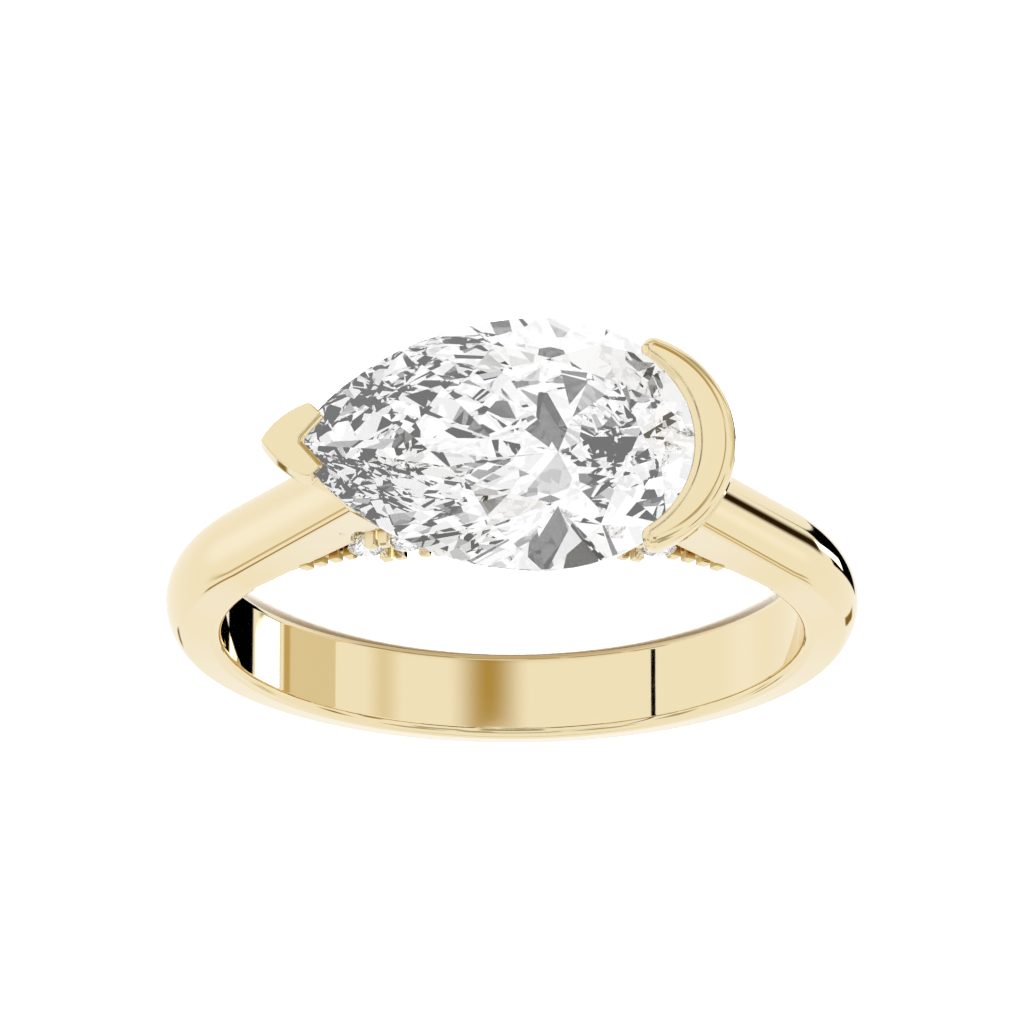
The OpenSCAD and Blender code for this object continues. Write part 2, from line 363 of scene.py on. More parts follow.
@dataclass
class MetalWork:
    """Collects grids of points and turns them into one mesh object of gold.

    Only a piece that is mirrored shows in the reflections of the gold and the stones.
    """

    name: str
    mirrored: bool = False
    points: list[Array] = field(default_factory=list)
    quads: list[Array] = field(default_factory=list)
    caps: list[Array] = field(default_factory=list)
    count: int = 0

    def loft(self, rings: Array) -> None:
        """Add a skin over a row of closed outlines.

        Point (i, j) of the grid is joined to its neighbours along the outline, which runs round,
        and to the next outline. The first and last outlines are filled, and all faces are turned
        outwards.

        Args:
            rings: Outlines of shape (rows, columns, 3) in the ring's axes, in mm.
        """
        rows, columns = rings.shape[:2]
        points = rings.reshape(-1, 3)
        index = np.arange(len(points)).reshape(rows, columns)
        here, along = index[:-1], index[1:]
        beside = np.roll(here, -1, axis=1), np.roll(along, -1, axis=1)
        quads = np.stack([here, *beside, along], axis=-1).reshape(-1, 4)
        caps = [index[0][::-1], index[-1]]
        if enclosed(points, quads, caps) < 0:
            quads, caps = quads[:, [0, 3, 2, 1]], [cap[::-1] for cap in caps]
        self.points.append(points)
        self.quads.append(quads + self.count)
        self.caps += [cap + self.count for cap in caps]
        self.count += len(points)

    def boxes(
        self, centres: Array, across: Array, out: Array, half: Array, edge: float, splay: Array
    ) -> None:
        """Add square bars along F with their edges broken.

        Each bar is a loft of four rounded squares: two that are drawn in by the break at its ends,
        and two of full size one break further in.

        Args:
            centres: Middles of the bars, shape (n, 3), in mm.
            across: Directions across each bar, shape (n, 3).
            out: Directions out from the finger hole, shape (n, 3).
            half: Half sizes across, out and along F, shape (n, 3).
            edge: Width of the break of each edge.
            splay: How far the free end of each bar leans across, shape (n,).
        """
        for centre, side, up, size, lean in zip(centres, across, out, half, splay):
            square = round_polygon(SQUARE * size[:2], [edge] * 4, 3)
            levels = []
            for sign, inset in ((-1, edge), (-1, 0), (1, 0), (1, edge)):
                plan = square * (1 - inset / size[:2])
                height = sign * (size[2] if inset else size[2] - edge)
                shift = lean if sign * centre[2] > 0 else 0.0
                across_bar = (plan[:, :1] + shift) * side
                levels.append(centre + across_bar + plan[:, 1:] * up + [0.0, 0.0, height])
            self.loft(np.stack(levels))

    def build(self, finish: bpy.types.Material, slot: Slot) -> bpy.types.Object:
        """Make the object, lay it on the table and give it its finish.

        Args:
            finish: Material of the piece.
            slot: Record slot the finish stands for; not used.

        Returns:
            The finished object, riding the ring's one body.
        """
        places = lay_down(np.concatenate(self.points)) * MM
        faces = np.concatenate(self.quads)
        mesh = bpy.data.meshes.new(self.name)
        mesh.from_pydata(
            places.tolist(), [], faces.tolist() + [cap.tolist() for cap in self.caps]
        )
        mesh.validate()
        mesh.polygons.foreach_set("use_smooth", np.ones(len(mesh.polygons), dtype=bool))
        mesh.set_sharp_from_angle(angle=np.radians(SMOOTH_ANGLE))
        mesh.materials.append(finish)
        piece = bpy.data.objects.new(self.name, mesh)
        bpy.context.scene.collection.objects.link(piece)
        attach(piece, "root")
        piece.visible_transmission = False
        piece.visible_glossy = self.mirrored
        LOG.info("%s: %d faces", self.name, len(mesh.polygons))
        return piece


# ---------------------------------------------------------------- sizes shared by the pieces


@dataclass(frozen=True)
class RingSizes:
    """Sizes that more than one piece takes from the solids, in mm and degrees."""

    bore_r: float = 8.5
    edge_r: float = 0.28
    rim_land: float = 0.05
    half_w: float = 1.3
    half_crease: float = 1.0
    crease_r: float = 9.72
    palm_drop: float = 0.43
    dome_h: float = 0.43
    shoulder_turn: float = 33.0
    under_turn: float = 36.4
    shoulder_top: float = 10.3
    girdle_h: float = 13.0
    rim_up: float = 0.4
    rim_down: float = 0.3
    half_stone: float = 3.78
    table_h: float = 14.1
    table_share: float = 0.56

    @property
    def rim_r(self) -> float:
        """Radius at which the shank's sides start to lean in."""
        return self.bore_r + self.edge_r + self.rim_land

    @property
    def dome_r(self) -> float:
        """Radius of the arc that domes from one crease to the other."""
        return (self.half_crease**2 + self.dome_h**2) / (2 * self.dome_h)

    @property
    def shoulder_foot(self) -> Array:
        """Point of the crease where a shoulder runs straight on."""
        turn = np.radians(self.shoulder_turn)
        return self.crease_r * np.array([np.cos(turn), np.sin(turn)]) - [0, self.palm_drop]

    @property
    def shoulder_end(self) -> Array:
        """Point of the crease where a shoulder ends under the setting."""
        turn = np.radians(self.shoulder_turn)
        foot = self.shoulder_foot
        length = (self.shoulder_top - foot[1]) / np.cos(turn)
        return foot + length * np.array([-np.sin(turn), np.cos(turn)])


SIZES = RingSizes()


@dataclass(frozen=True)
class Lie:
    """How the ring lies: on the girdle's widest point and on the edge of its side at the palm."""

    sizes: RingSizes = SIZES

    @property
    def tilt(self) -> float:
        """Angle in radians that the finger hole leans from upright."""
        s = self.sizes
        return float(np.arctan((s.half_stone - s.half_w) / (s.girdle_h + s.rim_r)))

    @property
    def turn(self) -> Array:
        """Rotation from the ring's axes to the table's, as a 3 by 3 matrix."""
        c, s = np.cos(self.tilt), np.sin(self.tilt)
        return np.array([[-1, 0, 0], [0, -c, s], [0, s, c]])

    @property
    def shift(self) -> Array:
        """Place of the finger hole's centre above the table, in mm."""
        s = self.sizes
        c, n = np.cos(self.tilt), np.sin(self.tilt)
        head = s.table_h * c + s.table_share * s.half_stone * n
        palm = (s.crease_r + s.palm_drop + s.dome_h - s.dome_r) * c + s.dome_r
        return np.array([0, (head - palm) / 2, s.half_w * c + s.rim_r * n])


LIE = Lie()


def lay_down(points: Array) -> Array:
    """Take points from the ring's axes to the table's, in mm.

    Args:
        points: Points of shape (n, 3) as X, H, F.

    Returns:
        The same points as the ring lies.
    """
    return points @ LIE.turn.T + LIE.shift


# ---------------------------------------------------------------- shank


@dataclass
class Shank:
    """The shank and its two straight shoulders, one section carried round the finger hole."""

    sizes: RingSizes = SIZES
    arc_steps: int = 110
    bar_steps: int = 40
    dome_steps: int = 20
    bore_round: float = 0.25
    rim_round: float = 0.06
    crease_round: float = 0.5

    def crease_path(self) -> tuple[Array, Array]:
        """Points of the right half of the crease and its outward turns, from the palm up.

        The crease is a circle below the finger hole's centre up to the shoulder's turn, and from
        there the tangent of that circle.

        Returns:
            Points of shape (n, 2) and turns in radians of shape (n,).
        """
        s = self.sizes
        turns = np.linspace(-np.pi / 2, np.radians(s.shoulder_turn), self.arc_steps)
        arc = s.crease_r * np.stack([np.cos(turns), np.sin(turns)], axis=-1) - [0, s.palm_drop]
        share = np.linspace(0, 1, self.bar_steps + 1)[1:, None]
        bar = s.shoulder_foot + share * (s.shoulder_end - s.shoulder_foot)
        bar_turns = np.full(self.bar_steps, turns[-1])
        return np.concatenate([arc, bar]), np.concatenate([turns, bar_turns])

    def depth(self, path: Array, turns: Array, radius: float) -> Array:
        """Depth from the crease to the finger hole's wall, or to a shoulder's straight underside.

        On the arc it is the distance inwards to the circle of that radius. On the shoulder it is
        the distance to the line that touches the circle at the underside's turn.

        Args:
            path: Points of the crease.
            turns: Outward turns at the points.
            radius: Radius of the circle.

        Returns:
            Depths in mm, one for each point.
        """
        out = np.stack([np.cos(turns), np.sin(turns)], axis=-1)
        inner = (path * out).sum(-1)
        to_circle = inner - np.sqrt(np.maximum(inner**2 - (path**2).sum(-1) + radius**2, 0))
        under = np.radians(self.sizes.under_turn)
        line = path @ np.array([np.cos(under), np.sin(under)]) - radius
        to_line = line / np.cos(under - turns)
        on_bar = np.arange(len(turns)) >= self.arc_steps - 1
        return np.where(on_bar, to_line, to_circle)

    def sections(self, bore: Array, rim: Array) -> Array:
        """Section outlines, measured outwards from the crease and along the finger.

        From the finger hole's wall a quarter round leads to the upright rim, then a side leans in
        to the crease, and a circular arc domes over to the other crease.

        Args:
            bore: Depths of the finger hole's wall.
            rim: Depths at which the sides start to lean.

        Returns:
            Outlines of shape (stations, points, 2).
        """
        s = self.sizes
        sweep = np.arcsin(s.half_crease / s.dome_r)
        turns = np.linspace(-sweep, sweep, self.dome_steps + 1)
        dome = s.dome_r * np.stack([np.cos(turns), np.sin(turns)], axis=-1)
        dome += [s.dome_h - s.dome_r, 0]
        flat = np.full_like(bore, s.half_w)
        zero = np.zeros_like(bore)
        crease = np.full_like(bore, s.half_crease)
        dome = np.broadcast_to(dome, (len(bore),) + dome.shape)
        near, far = dome[:, 2], dome[:, -3]
        bore_front, bore_back = np.stack([-bore, flat], -1), np.stack([-bore, -flat], -1)
        rim_front, rim_back = np.stack([-rim, flat], -1), np.stack([-rim, -flat], -1)
        crease_front, crease_back = np.stack([zero, crease], -1), np.stack([zero, -crease], -1)
        return np.concatenate(
            [
                fillet(bore_front, bore_back, rim_back, self.bore_round, 8),
                fillet(bore_back, rim_back, crease_back, self.rim_round, 3),
                fillet(rim_back, crease_back, near, self.crease_round, 5),
                dome[:, 3:-3],
                fillet(far, crease_front, rim_front, self.crease_round, 5),
                fillet(crease_front, rim_front, bore_front, self.rim_round, 3),
                fillet(rim_front, bore_front, bore_back, self.bore_round, 8),
            ],
            axis=1,
        )

    def rings(self) -> Array:
        """Outlines of the whole shank, from the left shoulder round the palm to the right one."""
        path, turns = self.crease_path()
        bore = self.depth(path, turns, self.sizes.bore_r)
        rim = self.depth(path, turns, self.sizes.rim_r)
        section = self.sections(bore, rim)
        out = np.stack([np.cos(turns), np.sin(turns)], axis=-1)
        plane = path[:, None, :] + section[..., :1] * out[:, None, :]
        right = np.concatenate([plane, section[..., 1:]], axis=-1)
        left = right[::-1] * [-1, 1, 1]
        return np.concatenate([left[:-1], right])

    def build(self, gold: bpy.types.Material) -> bpy.types.Object:
        """Build the shank in gold.

        Args:
            gold: Material of the ring.

        Returns:
            The finished shank.
        """
        work = MetalWork("shank", mirrored=True)
        work.loft(self.rings())
        return work.build(gold, Slot.GOLD)


# ---------------------------------------------------------------- pointed cap


@dataclass(frozen=True)
class CapPlan:
    """Places of the cap's corners at one height, in mm, and how far the outline is drawn in."""

    tip_x: float
    corner: tuple[float, float]
    inner: tuple[float, float]
    notch_x: float
    inset: float = 0.0


# The post's outlines from the shoulder up to the cap, by height.
POST_LEVELS = (
    (10.0, CapPlan(-4.75, (-4.35, 1.0), (-3.45, 1.27), -3.45)),
    (10.5, CapPlan(-5.02, (-4.62, 1.08), (-3.62, 1.26), -3.62)),
    (11.2, CapPlan(-5.45, (-4.82, 1.1), (-4.0, 1.15), -4.0)),
    (12.0, CapPlan(-6.15, (-5.15, 1.12), (-4.6, 0.97), -4.6)),
    (12.4, CapPlan(-6.66, (-5.44, 1.125), (-5.02, 0.83), -5.02)),
    (12.6, CapPlan(-6.98, (-5.64, 1.128), (-5.25, 0.74), -5.7)),
)
# Half height of the undercut for the stone's edge.
SEAT_HALF = 0.09
# The ledge along the arms, by its depth under the top: the inner corner and the notch's place.
LEDGE = (
    (0.2, (-5.27, 0.71), -5.90),
    (0.13, (-5.27, 0.71), -5.90),
    (0.105, (-5.285, 0.725), -5.93),
    (0.1, (-5.31, 0.75), -5.97),
    (0.095, (-5.345, 0.785), -6.03),
    (0.085, (-5.365, 0.805), -6.05),
)
# Drops and insets of the outlines that round the top's edge.
TOP_ROUND = ((0.045, 0.0), (0.03, 0.002), (0.015, 0.01), (0.005, 0.022), (0.0, 0.04), (0.0, 0.052))


@dataclass
class Cap:
    """The pointed cap over the stone's point, and the post that carries it."""

    sizes: RingSizes = SIZES
    tip_x: float = -7.05
    corner: tuple[float, float] = (-5.69, 1.13)
    side_arc_r: float = 2.52
    arc_steps: int = 18
    corner_round: float = 0.16
    inner_round: float = 0.09
    notch_round: float = 0.2

    def outline(self, plan: CapPlan) -> Array:
        """Outline of the cap or its post at one height.

        Two arcs bulge from the corners to the tip. End faces run from the corners to the inner
        corners, and straight arms from there to the notch. All corners but the tip are rounded.

        Args:
            plan: Places of the corners and the inset of the outline.

        Returns:
            Points of shape (n, 2) as X and F, clockwise with F up.
        """
        tip, notch = np.array([plan.tip_x, 0.0]), np.array([plan.notch_x, 0.0])
        end, inner = np.array(plan.corner), np.array(plan.inner)
        chord = end - tip
        half = np.linalg.norm(chord) / 2
        normal = np.array([-chord[1], chord[0]]) / (2 * half)
        centre = (tip + end) / 2 - normal * np.sqrt(self.side_arc_r**2 - half**2)
        start, stop = (np.arctan2(*(p - centre)[::-1]) for p in (tip, end))
        turns = np.linspace(start, stop, self.arc_steps)
        arc = centre + self.side_arc_r * np.stack([np.cos(turns), np.sin(turns)], -1)
        upper = np.concatenate(
            [
                arc[1:-2],
                fillet(arc[-3], end, inner, self.corner_round, 5)[1:],
                fillet(end, inner, notch, self.inner_round, 4),
            ]
        )
        bend = fillet(inner, notch, inner * [1, -1], self.notch_round, 6)
        outline = np.concatenate([tip[None, :], upper, bend, upper[::-1] * [1, -1]])
        along = unit(np.roll(outline, -1, axis=0) - np.roll(outline, 1, axis=0))
        return outline + plan.inset * np.stack([along[:, 1], -along[:, 0]], -1)

    def rings(self) -> Array:
        """Outlines from the shoulder up to the flat top.

        The post leans in from the cap to the shoulder and widens to its side. Above it the cap is
        undercut for the stone's edge, and along the arms a low ledge steps down to the stone.
        """
        girdle = self.sizes.girdle_h
        top = girdle + self.sizes.rim_up
        levels = list(POST_LEVELS)
        for height, inner, notch_x in (
            (12.7, (-5.27, 0.71), -5.8),
            (girdle - SEAT_HALF, (-5.5, 0.94), -6.2),
            (girdle + SEAT_HALF, (-5.5, 0.94), -6.2),
        ):
            levels.append((height, CapPlan(self.tip_x, self.corner, inner, notch_x)))
        for drop, inner, notch_x in LEDGE:
            levels.append((top - drop, CapPlan(self.tip_x, self.corner, inner, notch_x)))
        _, inner, notch_x = LEDGE[-1]
        for drop, inset in TOP_ROUND:
            levels.append((top - drop, CapPlan(self.tip_x, self.corner, inner, notch_x, inset)))
        return np.stack([self.level(height, self.outline(plan)) for height, plan in levels])

    @staticmethod
    def level(height: float, plan: Array) -> Array:
        """Lift a plan outline to a height, as points X, H, F."""
        return np.stack([plan[:, 0], np.full(len(plan), height), plan[:, 1]], axis=-1)

    def build(self, gold: bpy.types.Material) -> bpy.types.Object:
        """Build the cap and its post in gold.

        Args:
            gold: Material of the ring.

        Returns:
            The finished cap.
        """
        work = MetalWork("pointed_cap")
        work.loft(self.rings())
        return work.build(gold, Slot.GOLD)


# ---------------------------------------------------------------- crescent


@dataclass
class Crescent:
    """The crescent half bezel round the stone's round end, and its basket."""

    sizes: RingSizes = SIZES
    outer_x: float = 2.95
    outer_r: float = 3.345
    inner_x: float = 2.07
    inner_r: float = 3.05
    end_turn: float = 69.6
    round_r: float = 0.32
    least_half: float = 0.02
    foot_h: float = 10.1
    basket_turn: float = 66.0
    basket_steps: int = 33
    basket_levels: int = 9
    arc_steps: int = 96
    end_steps: int = 14

    def stations(self) -> tuple[Array, Array, Array]:
        """Middle line, outward directions and half widths of the crescent in plan.

        A ray from the outer circle's centre meets the inner circle, whose centre is nearer the
        stone, so the crescent narrows towards its ends.

        Returns:
            Points (n, 2), directions (n, 2) and half widths (n,).
        """
        turns = np.radians(np.linspace(-self.end_turn, self.end_turn, self.arc_steps))
        out = np.stack([np.cos(turns), np.sin(turns)], -1)
        gap = self.outer_x - self.inner_x
        near = -gap * np.cos(turns) + np.sqrt(self.inner_r**2 - (gap * np.sin(turns)) ** 2)
        middle = (near + self.outer_r) / 2
        return [self.outer_x, 0] + middle[:, None] * out, out, (self.outer_r - near) / 2

    def profile(self) -> tuple[Array, Array, Array]:
        """Section of the crescent as insets from its edge, with the height of each point.

        On the inner side the wall is undercut for the girdle. Above it a narrow lip lies on the
        stone, and a riser leads up to the flat top. A quarter round leads down to the outer wall.

        Returns:
            Sides (-1 inner, 1 outer), insets and heights, each of shape (m,).
        """
        top = self.sizes.girdle_h + self.sizes.rim_up
        low = self.sizes.girdle_h - self.sizes.rim_down
        turns = np.radians(np.linspace(0, 90, 9))
        r = self.round_r
        undercut = [(0.10, low), (0.02, low + 0.02), (0.0, low + 0.1), (0.27, 12.93), (0.28, 13.06)]
        lip = [(0.04, 13.13), (0.0, 13.15), (0.0, 13.2), (0.01, 13.235), (0.03, 13.252)]
        lip += [(0.06, 13.26), (0.16, 13.278), (0.185, 13.285)]
        riser = [(0.2, 13.3), (0.212, 13.35), (0.225, 13.38), (0.247, 13.396), (0.27, top)]
        inner = undercut + lip + riser + [(0.29, top)]
        outer = [(r + 0.02, top)]
        outer += [(r * (1 - np.sin(t)), top - r * (1 - np.cos(t))) for t in turns]
        outer += [(0.0, top - r - 0.02), (0.0, low + 0.03), (0.01, low + 0.01), (0.04, low)]
        points = np.array(inner + outer)
        sides = np.array([-1.0] * len(inner) + [1.0] * len(outer))
        return sides, points[:, 0], points[:, 1]

    def rim_rings(self) -> Array:
        """Sections of the crescent along its middle line, with half-round ends in plan."""
        middle, out, half = self.stations()
        sides, insets, heights = self.profile()
        reach = sides * np.maximum(half[:, None] - insets, self.least_half)
        body = middle[:, None, :] + reach[..., None] * out[:, None, :]
        ends = []
        turns = np.radians(np.linspace(90, 0, self.end_steps))[:-1]
        for index, sign in ((0, -1), (-1, 1)):
            along = sign * np.array([-out[index][1], out[index][0]])
            radii = np.maximum(half[index] - insets, self.least_half)
            plan = (
                middle[index]
                + (radii * np.sin(turns)[:, None])[..., None] * along
                + (sides * radii * np.cos(turns)[:, None])[..., None] * out[index]
            )
            ends.append(plan if sign < 0 else plan[::-1])
        plan = np.concatenate([ends[0], body, ends[1]])
        height = np.broadcast_to(heights, plan.shape[:2])
        return np.stack([plan[..., 0], height, plan[..., 1]], axis=-1)

    def basket_rings(self) -> Array:
        """Outlines of the basket's wall from the shoulder up to the crescent.

        Each outline is an outer line and an inner line. At the top they are arcs about the
        crescent's centre, at the foot they follow the shoulder's end, and between they ease over.
        """
        low = self.sizes.girdle_h - self.sizes.rim_down
        turns = np.radians(np.linspace(-self.basket_turn, self.basket_turn, self.basket_steps))
        circle = np.stack([np.cos(turns), np.sin(turns)], -1)
        top_outer = [self.outer_x, 0] + (self.outer_r - 0.14) * circle
        top_inner = [self.outer_x, 0] + (self.outer_r - 0.85) * circle
        span = np.linspace(-1, 1, self.basket_steps)
        foot_outer = np.stack([4.95 - 0.55 * span**4, 1.02 * span], -1)
        foot_inner = np.stack([np.full_like(span, 3.7), 1.22 * span], -1)
        share = np.linspace(0, 1, self.basket_levels)[:, None, None] ** 1.4
        outer = foot_outer + share * (top_outer - foot_outer)
        inner = foot_inner + share * (top_inner - foot_inner)
        plan = np.concatenate([outer, inner[:, ::-1]], axis=1)
        levels = np.linspace(self.foot_h, low + 0.12, self.basket_levels)
        height = np.broadcast_to(levels[:, None], plan.shape[:2])
        return np.stack([plan[..., 0], height, plan[..., 1]], axis=-1)

    def build(self, gold: bpy.types.Material) -> bpy.types.Object:
        """Build the crescent and its basket in gold.

        Args:
            gold: Material of the ring.

        Returns:
            The finished crescent.
        """
        work = MetalWork("crescent_bezel")
        work.loft(self.rim_rings())
        work.loft(self.basket_rings())
        return work.build(gold, Slot.GOLD)


# ---------------------------------------------------------------- bridge


@dataclass
class Bridge:
    """The slotted bridge over the finger, with its prongs and posts on both faces."""

    sizes: RingSizes = SIZES
    outer_r: float = 10.15
    half: float = 1.22
    slot_half: float = 0.5
    slot_turn: float = 24.0
    turn: float = 29.0
    pitch: float = 7.4
    stones: int = 8
    step_turn: float = 1.2
    edge: float = 0.05
    prong: float = 0.34
    prong_in: float = 0.41
    prong_out: float = 0.1
    pair_half: float = 0.18
    splay: float = 0.03
    prong_top: float = 1.75
    post_in: float = 0.26
    post_top: float = 1.42
    post_turns: tuple[float, ...] = (31.7, 35.0, 38.6, 42.0)

    def band(
        self, turns: tuple[float, float], radii: tuple[float, float], widths: tuple[float, float]
    ) -> Array:
        """Sections of a bar bent round the finger hole.

        Args:
            turns: Where the bar starts and ends, in degrees from the top.
            radii: Its inner and outer radius.
            widths: Its two sides along F.

        Returns:
            Rings of shape (n, m, 3).
        """
        (low, high), (near, far) = radii, widths
        square = np.array([[low, near], [high, near], [high, far], [low, far]])
        section = round_polygon(square, [self.edge] * 4, 3)
        count = max(3, int(abs(turns[1] - turns[0]) / self.step_turn))
        spread = np.radians(np.linspace(*turns, count))
        across = np.sin(spread)[:, None] * section[:, 0]
        up = np.cos(spread)[:, None] * section[:, 0]
        return np.stack([across, up, np.broadcast_to(section[:, 1], across.shape)], axis=-1)

    def bars(
        self, turns: Array, radius: float, top: float, sign: int
    ) -> tuple[Array, Array, Array, Array]:
        """Places and sizes of square bars that stand out of a face of the bridge.

        Args:
            turns: Turns of the bars from the top, in degrees.
            radius: Distance of the bars from the finger hole's axis.
            top: How far they reach along F.
            sign: 1 for the front face and -1 for the back.

        Returns:
            Middles, directions across, directions out and half sizes.
        """
        angle = np.radians(turns)
        zero = np.zeros_like(angle)
        out = np.stack([np.sin(angle), np.cos(angle), zero], -1)
        across = np.stack([np.cos(angle), -np.sin(angle), zero], -1)
        root = self.half - self.prong
        middle = out * radius + [0.0, 0.0, sign * (top + root) / 2]
        half = np.broadcast_to([self.prong / 2, self.prong / 2, (top - root) / 2], middle.shape)
        return middle, across, out, half

    def build(self, gold: bpy.types.Material) -> bpy.types.Object:
        """Build the bridge, its prongs and its posts in gold.

        Args:
            gold: Material of the ring.

        Returns:
            The finished bridge.
        """
        s = self.sizes
        work = MetalWork("slotted_bridge")
        gaps = (np.arange(1, self.stones) - self.stones / 2) * self.pitch
        leans = np.concatenate([np.full_like(gaps, -self.splay), np.full_like(gaps, self.splay)])
        posts = np.concatenate([self.post_turns, -np.array(self.post_turns)])
        for side in Side:
            near, far = sorted((side.value * self.slot_half, side.value * self.half))
            work.loft(self.band((-self.turn, self.turn), (s.bore_r, self.outer_r), (near, far)))
            for radius in (s.bore_r + self.prong_in, self.outer_r - self.prong_out):
                lean = np.degrees(np.arcsin(self.pair_half / radius))
                turns = np.concatenate([gaps - lean, gaps + lean])
                pairs = self.bars(turns, radius, self.prong_top, side.value)
                work.boxes(*pairs, self.edge, leans)
            upright = self.bars(posts, s.bore_r + self.post_in, self.post_top, side.value)
            work.boxes(*upright, self.edge, np.zeros_like(posts))
        # At each end: the slot's closed end, then two lower steps that run out in the shoulder
        for start, stop, outer, half in (
            (self.slot_turn, self.turn + 2, self.outer_r - 0.02, 1.02),
            (self.turn - 3, self.turn + 7, s.rim_r + 0.5, 1.06),
            (self.turn - 3, self.turn + 24, s.rim_r, self.half - 0.03),
        ):
            for ends in ((-stop, -start), (start, stop)):
                work.loft(self.band(ends, (s.bore_r, outer), (-half, half)))
        return work.build(gold, Slot.GOLD)


# ---------------------------------------------------------------- stones


@dataclass
class Stones:
    """The pear brilliant and the small brilliants, which keep the solids' own facets."""

    nodes: dict[str, bpy.types.Object]

    def dress(self, diamond: bpy.types.Material) -> None:
        """Give every stone its finish, and keep its shadow off the paper.

        Args:
            diamond: Material of the stones.
        """
        stones = [o for name, o in self.nodes.items() if "stone" in name]
        for stone in stones:
            stone.visible_shadow = False
            stone.data.materials.clear()
            stone.data.materials.append(diamond)
        LOG.info("%s stones: %d", Slot.DIAMOND.value, len(stones))


# ---------------------------------------------------------------- studio


@dataclass(frozen=True)
class Card:
    """A flag or reflector in the studio, which shows in polished gold and in the stones only.

    Azimuth runs from the camera's side of the table towards the cap's side, and elevation from the
    table's plane, both in degrees. Half sizes are in degrees too. The edge is the soft part's share
    of the half size, and edge_up is the same for the upper and lower edges where they differ. At
    its usual distance, a card shows in every surface that faces its way. One that hangs close to
    the finger hole shows only in the surfaces that look at it from one place.
    """

    name: str
    azimuth: float
    elevation: float
    half_width: float
    half_height: float
    colour: str
    edge: float = 0.15
    gain: float = 1.0
    roll: float = 0.0
    in_stone: str = WHITE
    distance: float = 0.5
    edge_up: float | None = None

    def material(self) -> bpy.types.Material:
        """Make the card's glow, which fades out towards its edges and is neutral in a stone."""
        made = empty_material(self.name)
        tree = made.node_tree
        place = add_node(tree, "ShaderNodeUVMap", {}, {})
        axes = add_node(tree, "ShaderNodeSeparateXYZ", {}, {"Vector": place.outputs["UV"]})
        fades = []
        edge_up = self.edge if self.edge_up is None else self.edge_up
        for axis, edge in (("X", self.edge), ("Y", edge_up)):
            away = add_node(tree, "ShaderNodeMath", {}, {})
            away.operation = "ABSOLUTE"
            tree.links.new(axes.outputs[axis], away.inputs[0])
            fade = add_node(
                tree,
                "ShaderNodeMapRange",
                {"From Min": 1.0, "From Max": 1.0 - edge, "To Min": 0.0, "To Max": 1.0},
                {"Value": away.outputs["Value"]},
            )
            fade.interpolation_type = "SMOOTHSTEP"
            fades.append(fade)
        cover = add_node(tree, "ShaderNodeMath", {}, {})
        cover.operation = "MULTIPLY"
        for i, fade in enumerate(fades):
            tree.links.new(fade.outputs["Result"], cover.inputs[i])
        clear = add_node(tree, "ShaderNodeBsdfTransparent", {}, {})
        path = add_node(tree, "ShaderNodeLightPath", {}, {})
        tint = blend_colours(tree, path.outputs["Is Transmission Ray"], self.colour, self.in_stone)
        glow = add_node(tree, "ShaderNodeEmission", {"Strength": self.gain}, {"Color": tint})
        blend = add_node(tree, "ShaderNodeMixShader", {}, {})
        tree.links.new(cover.outputs["Value"], blend.inputs[0])
        tree.links.new(clear.outputs["BSDF"], blend.inputs[1])
        tree.links.new(glow.outputs["Emission"], blend.inputs[2])
        add_node(tree, "ShaderNodeOutputMaterial", {}, {"Surface": blend.outputs["Shader"]})
        return made

    def hang(self) -> None:
        """Hang the card at its distance from the finger hole's centre, facing it."""
        turn, rise = np.radians([self.azimuth, self.elevation])
        level = np.array([np.sin(turn), -np.cos(turn), 0.0])
        towards = level * np.cos(rise) + [0.0, 0.0, np.sin(rise)]
        side = unit(np.cross(towards, [0, 0, 1]))
        up = np.cross(side, towards)
        lean = np.radians(self.roll)
        c, s = np.cos(lean), np.sin(lean)
        side, up = side * c + up * s, up * c - side * s
        width, height = self.distance * np.tan(np.radians([self.half_width, self.half_height]))
        middle = towards * self.distance + LIE.shift * MM
        places = middle + SQUARE[:, :1] * width * side + SQUARE[:, 1:] * height * up
        mesh = bpy.data.meshes.new(self.name)
        mesh.from_pydata(places.tolist(), [], [(0, 1, 2, 3)])
        layer = mesh.uv_layers.new(name="UVMap")
        layer.data.foreach_set("uv", SQUARE.ravel())
        mesh.materials.append(self.material())
        card = bpy.data.objects.new(self.name, mesh)
        bpy.context.scene.collection.objects.link(card)
        card.visible_camera = card.visible_diffuse = card.visible_shadow = False


# Tones that the cards have in a stone, then the colours that the gold sees of the dark cards.
MID_GREY, DARK_GREY, DIM, SHADE, NIGHT = "#8C8C8C", "#5A5A5A", "#383838", "#303030", "#242424"
BLACK, OCHRE, SAND, LINEN, CHALK = "#000000", "#A08848", "#B8B3A4", "#D0CDC4", "#F2F1EC"
NEAR = 0.08  # m from the finger hole to a card that only its wall or the crescent's top sees

